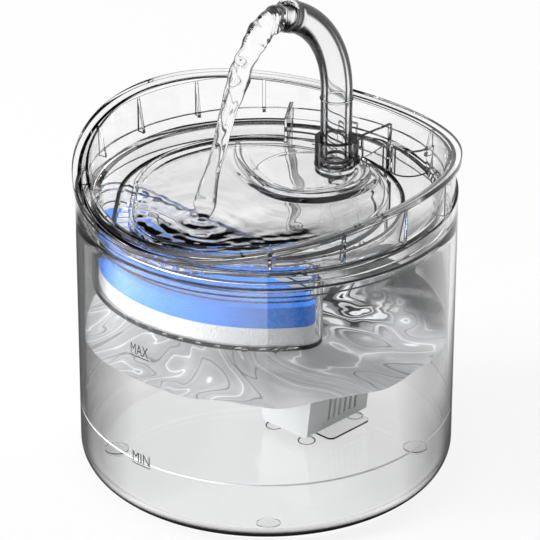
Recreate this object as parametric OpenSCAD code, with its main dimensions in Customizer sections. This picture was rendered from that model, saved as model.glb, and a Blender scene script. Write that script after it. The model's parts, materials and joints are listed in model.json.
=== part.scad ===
// Pet water fountain: clear tank, lift-off drinking tray with a hooked spout, hanging filter box
// and a small submersible pump. Front is -Y, the spout stands at the back, Z is up.
// The origin is on the floor, on the tank's axis.

/* [Tank] */
// Outer radius of the tank
tank_r = 87.5; // [80:0.5:105]
// Height of the tank, from its underside to its rim
tank_h = 130; // [108:1:170]
// Thickness of the tank's side wall
tank_wall = 2.8; // [2.2:0.1:3.6]
// Thickness of the tank's floor
tank_floor = 3.2; // [2.6:0.1:5]
// Radius of the rounded bottom edge
tank_edge_r = 11.4; // [8:0.2:16]
// Height of the low-water ring line above the underside
low_line_h = 30.5; // [24:0.5:36]
// Radius of a round foot pad
foot_r = 5.7; // [4.5:0.1:7]
// Height that the foot pads stand proud
foot_proud = 1.5; // [1:0.1:2.5]
// Depth of the recess that holds a foot pad
foot_recess = 1; // [0.6:0.1:1.4]
// Distance of the foot pads from the axis
foot_ring_r = 70; // [60:1:72]

/* [Tray rim] */
// Height of the band that sits on the tank's rim
band_h = 9; // [7:0.5:9.5]
// Step from the band in to the skirt above it
band_step = 1.3; // [1:0.1:1.6]
// Wall thickness of the tray
tray_wall = 1.6; // [1.4:0.1:2]
// Height of the rim's saddle at its middle
rim_mid_h = 16.1; // [15:0.1:20]
// How much higher the rim is at the sides than along the middle
rim_side_rise = 14.7; // [8:0.1:17]
// How much higher the rim is at the back than at the front
rim_back_rise = 10.8; // [4:0.1:11]
// How far the rim's bead stands out from the skirt
bead_proud = 2.5; // [1.5:0.1:3]
// Height of the rim's bead
bead_h = 2.6; // [1.5:0.1:3]
// Depth of the spigot that enters the tank
spigot_h = 5; // [3:0.5:8]
// Clearance between the spigot and the tank's wall
spigot_gap = 0.4; // [0.3:0.05:0.8]
// Number of places round the rim where a rib can stand
rib_places = 16; // [12:1:20]
// Thickness of a rib
rib_t = 1.4; // [1:0.1:2]

/* [Drinking bowl] */
// Inner radius of the bowl's wide round part
bowl_r = 56.4; // [50:0.2:57]
// Inner radius of the bowl's front nose
nose_r = 36.2; // [30:0.2:37]
// Height of the bowl's lip above the tank's rim
lip_h = 8.5; // [7.5:0.1:9]
// Thickness of the bowl's lip
lip_t = 2; // [1.6:0.1:2.6]
// Radius of the bowl's dished floor
dish_r = 330; // [280:5:400]
// Lowest level of the dish, measured from the tank's rim
dish_low = -1.5; // [-2:0.1:0]
// Width of the overflow channel round the lip
channel_w = 5.6; // [4.5:0.1:5.8]
// Level of the channel's floor above the tank's rim
channel_floor = 1.4; // [1:0.1:2]
// Width of a drain slot
slot_w = 1.8; // [1.2:0.1:2.4]
// Number of drain slots in the channel
slot_count = 23; // [15:1:27]

/* [Spout] */
// Outer radius of the pipe
pipe_r = 7.4; // [6.8:0.1:9]
// Bore radius of the pipe
pipe_bore_r = 5; // [4:0.1:5.4]
// Distance from the tank's axis back to the spout's axis
spout_y = 46.2; // [44:0.2:47]
// Height above the tank's rim where the bend begins
bend_start_h = 41.4; // [30:0.2:60]
// Radius of the bend's centre line
bend_r = 50.5; // [40:0.5:60]
// Angle through which the pipe is bent
bend_angle = 67; // [55:1:90]
// Wall thickness of the collar that holds the spout
collar_t = 2.5; // [1.6:0.1:3.2]
// Height of the collar's top above the tank's rim
collar_top_h = 17.8; // [14:0.2:20]
// Radial running clearance of the spout in the collar
collar_gap = 0.05; // [0.03:0.01:0.08]
// How far the nozzle ring stands out from the pipe
nozzle_proud = 0.5; // [0.3:0.1:1.2]
// Length of the nozzle ring
nozzle_len = 3.4; // [2.5:0.1:5]

/* [Filter] */
// Depth of the filter box below the tank's rim
box_depth = 33.2; // [30:0.2:42]
// Wall thickness of the filter box
box_wall = 1.6; // [1.2:0.1:2]
// Distance of the box's straight wall from the tank's axis
box_chord_y = 29.5; // [27:0.5:36]
// Radius of the box's upright corners
box_corner_r = 10; // [7:0.5:12]
// Thickness of the white cotton layer
cotton_t = 8.3; // [6:0.1:10]
// Thickness of the blue sponge layer
sponge_t = 10; // [8:0.1:11]

/* [Pump] */
// Width of the pump at its underside
pump_w = 29; // [28:0.5:33]
// Width of the pump at its top
pump_top_w = 35; // [34:0.5:38]
// Length of the pump, front to back
pump_len = 41; // [40:0.5:44]
// Height of the pump's housing
pump_h = 30; // [29:0.5:34]
// Outer radius of the riser tube
riser_r = 6.85; // [6.4:0.05:7.4]
// Bore radius of the riser tube
riser_bore_r = 5.1; // [4.8:0.05:5.4]
// Radius of the impeller
impeller_r = 8.6; // [7.5:0.1:8.8]
// Number of impeller vanes
vane_count = 6; // [4:1:8]
// Radius of the rotor's shaft
shaft_r = 1; // [0.8:0.05:1.2]
// Number of intake slots on each side of the pump
intake_count = 6; // [4:1:7]

/* [Hidden] */
$fn = 96;
eps = 0.01;
clear_colour = [0.86, 0.9, 0.92, 0.35];

// Levels
joint_z = foot_proud + tank_h;
floor_z = foot_proud + tank_floor;

// Tray rim
tank_in_r = tank_r - tank_wall;
skirt_r = tank_r - band_step;
skirt_in_r = skirt_r - tray_wall;
spigot_r = tank_in_r - spigot_gap;
spigot_in_r = spigot_r - tray_wall;
flange_t = 2;
bead_in = 0.4;
saddle_r = (tank_r * tank_r + rim_side_rise * rim_side_rise) / (2 * rim_side_rise);
saddle_tilt = atan(rim_back_rise / (2 * tank_r));
rim_reach = rim_mid_h + rim_side_rise + rim_back_rise;
land_t = 1.8;
funnel_foot_h = 7.5;
funnel_foot_r = skirt_in_r - 5.6;
funnel_lean = 6 / 28.5;
funnel_top_r = funnel_foot_r + (rim_reach - funnel_foot_h) * funnel_lean;
shelf_outer_r = funnel_foot_r - 2.5;
shelf_outer_h = 5.2;
shelf_inner_r = 52;
shelf_inner_h = 3.4;

// Bowl, channel and slots
bowl_y = 4;
seat_gap = 0.04;
nose_bite = 1.2;
flank_bite = 0.03;
trough_t = 1.8;
channel_out = lip_t + channel_w;
trough_low = channel_floor - trough_t;
trough_top = shelf_inner_h + 0.4;
trough_out = channel_out + trough_t;
nose_y = funnel_foot_r + nose_bite - trough_out - nose_r;
dish_t = 2.2;
dish_y = 10;
slot_len = channel_w - 0.6;
slot_span = 166;
island_r = 27.5;
island_y = 29;
island_h = 3.6;
ridge_t = 2.4;
ridge_h = 2.4;
ridge_tilt = 2;
wing_r = 67;
wing_angle = -100;
wing_span = 40;

// Back well
well_from = 88;
well_to = 125;
well_in_r = bowl_r + trough_out - bowl_y + 0.1;
well_out_r = funnel_foot_r - 0.6;
well_up = 15;
well_down = 52;
notch_w = 8;
notch_h = 6;
well_side_t = 1.3;
s_wall_top = 17.4;
s_x = 17;
s_y = 50;
s_r = 8.4;
s_step = [11.4, 16.4];
s_end = 6;

// Spout and collar
collar_bore_r = pipe_r + collar_gap;
collar_r = collar_bore_r + collar_t;
collar_seat_h = 3.9;
boss_low = -3.5;
nipple_r = riser_bore_r - 0.05;
nipple_bore_r = 3.5;
nipple_len = 8.5;
seal_h = 1.5;
seal_proud = 0.9;
oring_r = 0.8;
oring_h = 8;
oring_in_r = collar_bore_r - 0.03 - oring_r;
nozzle_step = 0.8;
nozzle_r = pipe_r + nozzle_proud;
bead_r = 0.5;
bead_at_h = 38;

// Filter box
box_top = 4.2;
box_spigot_gap = 2;
box_r = spigot_in_r - box_spigot_gap;
box_fit = 0.3;
layer_gap = 1.6;
hang_depth = 10;
grille_slots = 17;
grille_pitch = 8;
grille_w = 3;
grille_margin = 8;
bump_angles = [-137, -127, -53, -43];
bump_r = 1.4;

// Pump
pump_back_y = spout_y + 7.3;
pump_front_y = pump_back_y - pump_len;
foot_pad_h = 2.4;
plate_t = 1;
pump_z = floor_z + foot_pad_h + plate_t;
pump_top_z = pump_z + pump_h;
cover_t = 1.4;
cover_gap = 0.3;
cover_front_y = pump_front_y + 10;
axis_z = pump_z + 16.4;
chamber_front_y = spout_y - 5.2;
chamber_r = impeller_r + 1.5;
chamber_wall = 1.4;
chamber_back_y = spout_y + 4.6;
well_r = 6.6;
well_wall = 1;
magnet_r = 6;
rotor_gap = 0.05;
bush_r = 2.6;
rear_bush_r = 1.9;
eye_r = 5.5;
eye_hub_r = 3;
groove_r = 8.8;
hub_r = 3.4;
magnet_y0 = pump_front_y + 7.5;
magnet_y1 = chamber_front_y - 2;
vane_y0 = chamber_front_y + 3.8;
vane_y1 = chamber_back_y - chamber_wall - 0.6;
pocket_half = 11.4;
pocket_top_z = axis_z + 8.6;
pocket_y0 = pump_front_y + 2.5;
pocket_y1 = chamber_front_y - 3;
pocket_z0 = pump_z + cover_t + cover_gap;
core_half = 11.2;
core_y0 = pump_front_y + 8.5;
core_len = 12;
core_low_z = axis_z - 12.2;
core_bar_h = 2.8;
core_leg_w = 3.2;
core_leg_h = 18.7;
pole_w = 5;
pole_h = 10.4;
pole_x = 6.5;
coil_w = 12.8;
coil_t = 1.1;
coil_end = 2.2;
potting_h = 0.9;
gland_r = 3.4;
gland_len = 9;
gland_x = 13.5;
gland_y = pump_front_y + 5;
gland_z = pump_z + 20;
seal_wire_r = 0.7;
intake_pitch = 3.6;
intake_w = 1.6;
intake_h = 16;
intake_z = pump_z + 5;
window_w = 8;
window_h = 5;
window_z = pump_z + 5;
slider_w = 10;
slider_h = 6.4;
plate_half = 22;
pump_corner_r = 2.5;
riser_low_z = pump_top_z + 0.6;
riser_top_z = joint_z + boss_low - seal_h;
pump_feet = [for (y = [pump_front_y + 4, pump_back_y - 4], x = [-10.5, 10.5]) [x, y]];
foot_stem_r = 1.8;
rail_w = 1.4;
plate_corner_r = 3;

// ---------- shared shapes ----------

// Half section of a solid drum with a rounded bottom edge
module drum_section(r, h, edge) {
    square([r - edge, h]);
    translate([0, edge]) square([r, h - edge]);
    translate([r - edge, edge]) circle(edge);
}

// Space above the saddle-shaped rim; inset moves the surface down into the tray
module above_rim(inset = 0) {
    translate([0, 0, rim_mid_h + saddle_r])
        rotate([90 + saddle_tilt, 0, 0])
            cylinder(r = saddle_r + inset, h = 4 * tank_r, center = true, $fn = 240);
}

// Bowl-shaped block: a wide drum joined by straight flanks to the smaller nose drum in front
module bowl_block(grow, z0, z1) {
    flank = asin((bowl_r - nose_r) / (nose_y - bowl_y));
    n = [cos(flank), sin(flank)];
    a = bowl_r + grow - flank_bite;
    b = nose_r + grow - flank_bite;
    translate([0, 0, z0]) {
        translate([0, -bowl_y]) cylinder(r = bowl_r + grow, h = z1 - z0);
        translate([0, -nose_y]) cylinder(r = nose_r + grow, h = z1 - z0);
        linear_extrude(z1 - z0) polygon([[-a * n.x, -bowl_y - a * n.y], [a * n.x, -bowl_y - a * n.y],
                                         [b * n.x, -nose_y - b * n.y], [-b * n.x, -nose_y - b * n.y]]);
    }
}

// Circular segment with its straight side towards the axis and rounded corners
module segment_outline(r, chord, corner) {
    cy = -chord - corner;
    cx = sqrt(pow(r - corner, 2) - cy * cy);
    far = 3 * r;
    difference() {
        intersection() {
            circle(r);
            translate([-r, -2 * r]) square([2 * r, 2 * r - chord]);
        }
        for (s = [-1, 1]) polygon([[s * cx, cy], [s * cx, far], [s * far, far],
                                   [s * far, cy * far / cx], [s * cx, cy]]);
    }
    for (s = [-1, 1]) translate([s * cx, cy]) circle(corner + flank_bite);
}

// Wedge between two angles, for cutting sectors out of rings
module wedge(from, to, r) {
    mid = (from + to) / 2;
    polygon([[0, 0], r * [cos(from), sin(from)], 1.2 * r * [cos(mid), sin(mid)], r * [cos(to), sin(to)]]);
}

// Ring sector, drawn flat
module ring_sector(r_in, r_out, from, to) {
    intersection() {
        difference() {
            circle(r_out);
            circle(r_in);
        }
        wedge(from, to, 2 * r_out);
    }
}

// Tapered pump block between two places along Y, grown or shrunk all round
module pump_block(y0, y1, grow = 0) {
    w0 = pump_w / 2 + grow - pump_corner_r;
    w1 = pump_top_w / 2 + grow - pump_corner_r;
    hull() for (s = [-1, 1]) {
        translate([s * w0, y0, pump_z - grow + pump_corner_r])
            rotate([-90, 0, 0]) cylinder(r = pump_corner_r, h = y1 - y0, $fn = 32);
        translate([s * w1, y0, pump_top_z + grow - pump_corner_r])
            rotate([-90, 0, 0]) cylinder(r = pump_corner_r, h = y1 - y0, $fn = 32);
    }
}

// Cylinder along Y on the rotor's axis
module on_axis(r, y0, y1) {
    translate([0, y0, axis_z]) rotate([-90, 0, 0]) cylinder(r = r, h = y1 - y0);
}

// ---------- tank ----------

module tank() {
    color(clear_colour) translate([0, 0, foot_proud]) difference() {
        union() {
            rotate_extrude() difference() {
                drum_section(tank_r, tank_h, tank_edge_r);
                translate([0, tank_floor]) drum_section(tank_in_r, tank_h, tank_edge_r - tank_wall);
            }
            translate([0, 0, low_line_h]) rotate_extrude() translate([tank_in_r, 0]) circle(0.45, $fn = 24);
        }
        for (a = [45 : 90 : 315]) rotate(a) translate([foot_ring_r, 0, -eps])
            cylinder(r = foot_r + 0.1, h = foot_recess + eps);
    }
}

module tank_feet() {
    color([0.8, 0.83, 0.85, 0.6]) for (a = [45 : 90 : 315]) rotate(a) translate([foot_ring_r, 0, 0])
        rotate_extrude() {
            translate([0, 0]) square([foot_r - 0.8, foot_proud + foot_recess]);
            translate([0, 0.8]) square([foot_r, foot_proud + foot_recess - 0.8]);
            translate([foot_r - 0.8, 0.8]) circle(0.8, $fn = 32);
        }
}

// ---------- tray ----------

// Skirt, band, seat flange and spigot, up past the rim
module skirt_section() {
    translate([skirt_in_r, flange_t]) square([tray_wall, rim_reach]);
    translate([skirt_in_r, 0]) square([tank_r - skirt_in_r, band_h]);
    translate([spigot_in_r, 0]) square([tank_r - spigot_in_r, flange_t]);
    translate([spigot_in_r, -spigot_h]) square([tray_wall, spigot_h + flange_t]);
}

// Sloping funnel wall with its foot and the shelf that runs in towards the bowl
module funnel_section() {
    polygon([[funnel_foot_r, funnel_foot_h], [funnel_top_r, rim_reach], [funnel_top_r + tray_wall, rim_reach],
             [funnel_foot_r + tray_wall, funnel_foot_h], [funnel_foot_r + tray_wall, shelf_inner_h],
             [shelf_inner_r, shelf_inner_h - tray_wall], [shelf_inner_r, shelf_inner_h],
             [shelf_outer_r, shelf_outer_h]]);
}

// Everything outside the funnel's inner face, for the land along the rim
module land_section() {
    polygon([[funnel_foot_r, funnel_foot_h], [funnel_top_r, rim_reach],
             [skirt_r, rim_reach], [skirt_r, funnel_foot_h]]);
}

module rib(angle) {
    reach = (skirt_in_r - funnel_foot_r - tray_wall) / funnel_lean;
    rotate(angle) rotate([90, 0, 0]) translate([0, 0, -rib_t / 2]) linear_extrude(rib_t)
        polygon([[skirt_in_r + 0.3, band_h], [skirt_in_r + 0.3, funnel_foot_h + reach + 1],
                 [funnel_foot_r + tray_wall - 0.3, band_h]]);
}

function rib_kept(a) = (a < 68 || a > 130) && (a < 230 || a > 310);

module rim_parts() {
    difference() {
        union() {
            rotate_extrude() skirt_section();
            intersection() {
                rotate_extrude() funnel_section();
                cylinder(r = skirt_r, h = 2 * rim_reach);
            }
            for (i = [0 : rib_places - 1]) if (rib_kept(i * 360 / rib_places)) rib(i * 360 / rib_places);
        }
        above_rim();
    }
    difference() {
        intersection() {
            rotate_extrude() land_section();
            above_rim(land_t);
        }
        above_rim();
    }
    difference() {
        intersection() {
            rotate_extrude() translate([skirt_in_r + bead_in, 0])
                square([skirt_r + bead_proud - skirt_in_r - bead_in, rim_reach]);
            above_rim(bead_h);
        }
        above_rim();
    }
}

module dish_ball(grow = 0) {
    translate([0, -dish_y, dish_low + dish_r]) rotate([90, 0, 0]) sphere(dish_r + grow, $fn = 240);
}

// Outline of the wall that plugs into the filter box
module hang_outline(inset) {
    d = box_wall + box_fit + inset;
    segment_outline(box_r - d, box_chord_y + d, box_corner_r - d);
}

// Outside of the bowl's dish, up to its lip
module dish_block() {
    intersection() {
        bowl_block(lip_t, -8, lip_h);
        dish_ball(dish_t);
    }
}

// Upright wall along an arc about a centre, at the island's level
module ridge_arc(centre, r, from, to) {
    translate([centre.x, centre.y, 0]) linear_extrude(island_h + ridge_h + 2)
        ring_sector(r - ridge_t, r, from, to);
}

// Raised plate at the spout's foot with a swept ridge: a round hook on the right that runs into a
// wider arc on the left, highest at the front right and fading along the wing
module island() {
    wing_way = [cos(wing_angle), sin(wing_angle)];
    hook = [0, island_y];
    wing = hook + (island_r - wing_r) * wing_way;
    translate([0, island_y, -1]) cylinder(r = island_r - ridge_t / 2, h = island_h + 1);
    difference() {
        union() {
            ridge_arc(hook, island_r, wing_angle, 62);
            ridge_arc(wing, wing_r, wing_angle - wing_span, wing_angle);
        }
        translate([-2 * tank_r, -tank_r, island_h + ridge_h]) rotate([0, -ridge_tilt, 0])
            translate([-tank_r, 0, 0]) cube([6 * tank_r, 2 * tank_r, 40]);
    }
}

module collar_block(grow = 0) {
    translate([0, spout_y, boss_low]) cylinder(r = collar_r + grow, h = collar_top_h - boss_low);
}

// Outside of the chute at the back for filling and for the pump's lead, with side walls that stand
// above the shelf
module chute_block() {
    side = well_side_t;
    translate([0, 0, -well_down]) linear_extrude(well_down + trough_top)
        ring_sector(well_in_r - tray_wall, well_out_r + tray_wall, well_from - side, well_to + side);
    for (a = [well_to, well_from - side]) translate([0, 0, shelf_inner_h - 1])
        linear_extrude(well_up - shelf_inner_h + 1)
            ring_sector(well_in_r - tray_wall, funnel_foot_r + 1, a, a + side);
    translate([0, 0, shelf_inner_h - 1]) linear_extrude(lip_h - shelf_inner_h + 1)
        ring_sector(well_in_r - tray_wall, well_in_r, well_from - side, well_to + side);
}

module well_hole() {
    translate([0, 0, -well_down - eps]) linear_extrude(well_down + well_up + 1)
        ring_sector(well_in_r, well_out_r, well_from, well_to);
}

// S-shaped wall from the collar to the funnel, beside the filling well
module s_wall(grow = 0) {
    translate([s_x, s_y, trough_top]) linear_extrude(s_wall_top - trough_top) {
        ring_sector(s_r - grow, s_r + tray_wall + grow, 55, 180);
        translate(s_step) ring_sector(s_r - grow, s_r + tray_wall + grow, 235, 360);
        translate(s_step + [s_r, -0.2]) square([tray_wall, s_end]);
    }
}

module drain_slots() {
    mid = nose_r + lip_t + channel_w / 2;
    for (i = [0 : slot_count - 1])
        translate([0, -nose_y, 0]) rotate(270 - slot_span / 2 + i * slot_span / (slot_count - 1))
            translate([mid - slot_len / 2, -slot_w / 2, -3]) cube([slot_len, slot_w, 8]);
}

module tray_rim() {
    color(clear_colour) translate([0, 0, joint_z]) difference() {
        union() {
            difference() {
                rim_parts();
                bowl_block(trough_out + seat_gap, trough_low - 1, trough_top);
                bowl_block(channel_out, channel_floor, 20);
            }
            s_wall();
        }
        collar_block(seat_gap);
        chute_block();
        well_hole();
        rotate((well_from + well_to) / 2) translate([spigot_in_r - 1, -notch_w / 2, -spigot_h - eps])
            cube([tank_r - spigot_in_r + 4, notch_w, spigot_h + notch_h]);
    }
}

module tray_bowl() {
    color(clear_colour) translate([0, 0, joint_z]) difference() {
        union() {
            difference() {
                union() {
                    dish_block();
                    difference() {
                        bowl_block(trough_out, trough_low, trough_top);
                        bowl_block(lip_t - 0.5, -10, 20);
                    }
                }
                intersection() {
                    bowl_block(0, -8, 30);
                    dish_ball();
                }
                difference() {
                    bowl_block(channel_out, channel_floor, 20);
                    bowl_block(lip_t, -1, 21);
                }
            }
            island();
        }
        collar_block(seat_gap);
        chute_block();
        s_wall(seat_gap);
        drain_slots();
    }
}

module spout_collar() {
    color(clear_colour) translate([0, 0, joint_z]) difference() {
        union() {
            collar_block();
            translate([0, spout_y, boss_low - nipple_len]) cylinder(r = nipple_r, h = nipple_len + 1);
        }
        translate([0, spout_y, collar_seat_h]) cylinder(r = collar_bore_r, h = collar_top_h);
        translate([0, spout_y, boss_low - nipple_len - eps]) cylinder(r = nipple_bore_r, h = 40);
    }
}

module filling_chute() {
    color(clear_colour) translate([0, 0, joint_z]) difference() {
        chute_block();
        well_hole();
    }
}

// Wall under the tray that plugs into the top of the filter box
module filter_hanger() {
    color(clear_colour) translate([0, 0, joint_z]) difference() {
        translate([0, 0, -hang_depth]) linear_extrude(hang_depth + trough_low) difference() {
            hang_outline(0);
            hang_outline(tray_wall);
        }
        dish_block();
    }
}

// ---------- spout ----------

// Moves its child to the outlet end of the bend, pointing along the water's way
module at_outlet() {
    translate([0, spout_y - bend_r, joint_z + bend_start_h])
        translate(bend_r * [0, cos(bend_angle), sin(bend_angle)])
            rotate([bend_angle, 0, 0]) children();
}

module pipe_shape(r, extra = 0) {
    translate([0, spout_y, joint_z + collar_seat_h - extra])
        cylinder(r = r, h = bend_start_h - collar_seat_h + extra);
    translate([0, spout_y - bend_r, joint_z + bend_start_h]) rotate([90, 0, 90])
        rotate_extrude(angle = bend_angle) translate([bend_r, 0]) circle(r);
}

module spout_pipe() {
    color(clear_colour) difference() {
        union() {
            pipe_shape(pipe_r);
            translate([0, spout_y, joint_z + bead_at_h]) rotate_extrude()
                translate([pipe_r, 0]) circle(bead_r, $fn = 24);
            at_outlet() translate([0, 0, -0.3])
                cylinder(r = pipe_r - nozzle_step, h = nozzle_len + 0.3);
        }
        pipe_shape(pipe_bore_r, 1);
        at_outlet() translate([0, 0, -0.6]) cylinder(r = pipe_bore_r + 0.4, h = nozzle_len + 2);
        translate([0, spout_y, joint_z + oring_h]) rotate_extrude()
            translate([oring_in_r, 0]) circle(oring_r + 0.05, $fn = 32);
    }
}

module spout_nozzle() {
    color([0.25, 0.27, 0.29, 0.7]) at_outlet() difference() {
        cylinder(r = nozzle_r, h = nozzle_len);
        translate([0, 0, -eps]) cylinder(r = pipe_r - nozzle_step + 0.04, h = nozzle_len + 1);
    }
}

module spout_seal() {
    color([0.2, 0.2, 0.22]) translate([0, spout_y, joint_z + oring_h]) rotate_extrude()
        translate([oring_in_r, 0]) circle(oring_r, $fn = 32);
}

// ---------- riser ----------

module riser_tube() {
    color(clear_colour) translate([0, spout_y, riser_low_z]) difference() {
        cylinder(r = riser_r, h = riser_top_z - riser_low_z);
        translate([0, 0, -eps]) cylinder(r = riser_bore_r, h = riser_top_z - riser_low_z + 1);
    }
}

module riser_seal() {
    color([0.2, 0.2, 0.22]) translate([0, spout_y, riser_top_z]) difference() {
        cylinder(r = riser_r + seal_proud, h = seal_h);
        translate([0, 0, -eps]) cylinder(r = riser_bore_r + 0.05, h = seal_h + 1);
    }
}

// ---------- filter ----------

module box_outline(inset) {
    segment_outline(box_r - inset, box_chord_y + inset, box_corner_r - inset);
}

module filter_box() {
    h = box_depth - box_top;
    color(clear_colour) translate([0, 0, joint_z - box_depth]) {
        difference() {
            linear_extrude(h) box_outline(0);
            translate([0, 0, box_wall]) linear_extrude(h) box_outline(box_wall);
            translate([0, 0, -eps]) linear_extrude(box_wall + 1) intersection() {
                box_outline(box_wall + grille_margin);
                for (i = [0 : grille_slots - 1])
                    translate([(i - (grille_slots - 1) / 2) * grille_pitch - grille_w / 2, -2 * tank_r])
                        square([grille_w, 2 * tank_r]);
            }
        }
        for (a = bump_angles) rotate(a) translate([box_r - bump_r - 0.8, 0, -1])
            cylinder(r = bump_r, h = 1.2, $fn = 24);
    }
}

module filter_layer(z, t) {
    translate([0, 0, z]) linear_extrude(t) box_outline(box_wall + layer_gap);
}

module filter_cotton() {
    color([0.96, 0.96, 0.95]) filter_layer(joint_z - box_depth + box_wall + 0.05, cotton_t);
}

module filter_sponge() {
    color([0.16, 0.42, 0.95]) filter_layer(joint_z - box_depth + box_wall + cotton_t + 0.1, sponge_t);
}

// ---------- pump ----------

module pump_housing() {
    inner = -cover_t - cover_gap;
    color([0.95, 0.95, 0.95]) difference() {
        union() {
            pump_block(pump_front_y, cover_front_y);
            pump_block(cover_front_y - 1, chamber_front_y, inner);
        }
        difference() {
            translate([-pocket_half, pocket_y0, pocket_z0 - eps])
                cube([2 * pocket_half, pocket_y1 - pocket_y0, pocket_top_z - pocket_z0]);
            on_axis(well_r + well_wall, pocket_y0 - 1, pocket_y1 + 1);
        }
        on_axis(well_r, pocket_y0 + 2.5, chamber_front_y + 1);
        on_axis(bush_r, pocket_y0 + 0.4, pocket_y0 + 3);
        translate([-pump_top_w, gland_y, gland_z]) rotate([0, 90, 0])
            cylinder(r = gland_r + 0.05, h = pump_top_w - gland_x + 0.1);
        for (p = pump_feet) if (p.y < cover_front_y) translate([p.x, p.y, pump_z - 1])
            cylinder(r = foot_stem_r + 0.05, h = 2.4);
    }
}

module pump_cover() {
    color([0.93, 0.93, 0.93]) {
        difference() {
            pump_block(cover_front_y + 0.05, pump_back_y);
            pump_block(cover_front_y - 1, pump_back_y - cover_t, -cover_t);
            translate([0, spout_y, pump_top_z - 5]) cylinder(r = riser_bore_r + 0.3, h = 10);
            for (s = [-1, 1], i = [0 : intake_count - 1])
                translate([s * 17 - 7, cover_front_y + 3.4 + i * intake_pitch, intake_z])
                    cube([14, intake_w, intake_h]);
            translate([-window_w / 2, pump_back_y - 3, window_z]) cube([window_w, 6, window_h]);
            for (p = pump_feet) if (p.y > cover_front_y) translate([p.x, p.y, pump_z - 1])
                cylinder(r = foot_stem_r + 0.05, h = 4);
        }
        for (s = [-1, 1])
            translate([s * (slider_w + rail_w + 0.4) / 2 - rail_w / 2, pump_back_y - 0.2, window_z - 1])
                cube([rail_w, 1.6, window_h + 9]);
    }
}

module flow_slider() {
    color([0.75, 0.78, 0.8]) translate([-slider_w / 2, pump_back_y + 0.1, window_z - 0.6]) {
        cube([slider_w, 1.2, slider_h]);
        translate([slider_w / 2 - 3, 1, slider_h / 2 - 0.8]) cube([6, 1.2, 1.6]);
    }
}

// Volute round the impeller, with its inlet eye and the outlet that the riser tube fits on
module impeller_chamber() {
    color([0.9, 0.9, 0.9]) difference() {
        union() {
            on_axis(chamber_r + chamber_wall, chamber_front_y, chamber_back_y);
            pump_block(chamber_front_y + 0.02, chamber_front_y + 2, -cover_t - cover_gap);
            translate([0, spout_y, axis_z]) cylinder(r = nipple_bore_r + 1.1, h = pump_top_z - axis_z);
            translate([0, spout_y, pump_top_z - 1.6]) cylinder(r = nipple_r, h = 11);
        }
        difference() {
            on_axis(chamber_r, chamber_front_y + 2, chamber_back_y - chamber_wall);
            translate([0, spout_y, axis_z + chamber_r + 0.6]) cylinder(r = nipple_bore_r, h = 1);
        }
        on_axis(well_r, chamber_front_y - 1, chamber_front_y + 3);
        translate([0, spout_y, axis_z]) cylinder(r = nipple_bore_r, h = pump_h);
        difference() {
            on_axis(eye_r, chamber_back_y - 2 * chamber_wall, chamber_back_y + 1);
            on_axis(eye_hub_r, chamber_back_y - 3, chamber_back_y + 2);
            for (a = [0, 120, 240]) translate([0, chamber_back_y - 3, axis_z]) rotate([0, a, 0])
                translate([-0.6, 0, 0]) cube([1.2, 6, eye_r + 2]);
        }
        on_axis(rear_bush_r, chamber_back_y - 3, chamber_back_y - 0.3);
        on_axis(groove_r + seal_wire_r + 0.05, chamber_front_y - 1, chamber_front_y + 2 * seal_wire_r);
    }
}

module chamber_seal() {
    color([0.2, 0.2, 0.22]) translate([0, chamber_front_y + seal_wire_r, axis_z]) rotate([90, 0, 0])
        rotate_extrude() translate([groove_r, 0]) circle(seal_wire_r, $fn = 32);
}

module impeller() {
    color([0.3, 0.45, 0.75]) difference() {
        union() {
            on_axis(hub_r, magnet_y1, vane_y1);
            on_axis(impeller_r, vane_y0 - 1.2, vane_y0);
            for (i = [0 : vane_count - 1]) translate([0, vane_y0 - 0.1, axis_z])
                rotate([0, i * 360 / vane_count, 0]) translate([hub_r - 0.6, 0, -0.5])
                    cube([impeller_r - hub_r + 0.5, vane_y1 - vane_y0 - 0.2, 1]);
        }
        on_axis(shaft_r + rotor_gap, magnet_y1 - 1, vane_y1 + 1);
    }
}

module rotor_magnet() {
    color([0.22, 0.22, 0.24]) difference() {
        on_axis(magnet_r, magnet_y0, magnet_y1);
        on_axis(shaft_r + rotor_gap, magnet_y0 - 1, magnet_y1 + 1);
    }
}

module rotor_shaft() {
    color([0.9, 0.9, 0.88]) on_axis(shaft_r, pump_front_y + 3.2, chamber_back_y - 0.4);
}

module front_bush() {
    color([0.15, 0.15, 0.16]) difference() {
        on_axis(bush_r, pump_front_y + 2.9, pump_front_y + 4.9);
        on_axis(shaft_r, pump_front_y + 2, pump_front_y + 6);
    }
}

module rear_bush() {
    color([0.15, 0.15, 0.16]) difference() {
        on_axis(rear_bush_r, chamber_back_y - chamber_wall - 0.2, chamber_back_y - 0.3);
        on_axis(shaft_r, chamber_back_y - 3, chamber_back_y);
    }
}

module stator_core() {
    color([0.55, 0.56, 0.58]) difference() {
        union() {
            translate([-core_half, core_y0, core_low_z]) cube([2 * core_half, core_len, core_bar_h]);
            for (s = [-1, 1]) {
                translate([s * (core_half - core_leg_w / 2) - core_leg_w / 2, core_y0, core_low_z])
                    cube([core_leg_w, core_len, core_leg_h]);
                translate([s * pole_x - pole_w / 2, core_y0, axis_z - pole_h / 2])
                    cube([pole_w, core_len, pole_h]);
            }
        }
        on_axis(well_r + well_wall + 0.2, core_y0 - 1, core_y0 + core_len + 1);
    }
}

module stator_coil() {
    hole_h = core_bar_h + 0.4;
    color([0.72, 0.42, 0.2])
        translate([-coil_w / 2, core_y0 - coil_end - 0.2, core_low_z - coil_t - 0.2]) difference() {
            cube([coil_w, core_len + 2 * coil_end + 0.4, hole_h + 2 * coil_t]);
            translate([-1, coil_end, coil_t]) cube([coil_w + 2, core_len + 0.4, hole_h]);
        }
}

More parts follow.
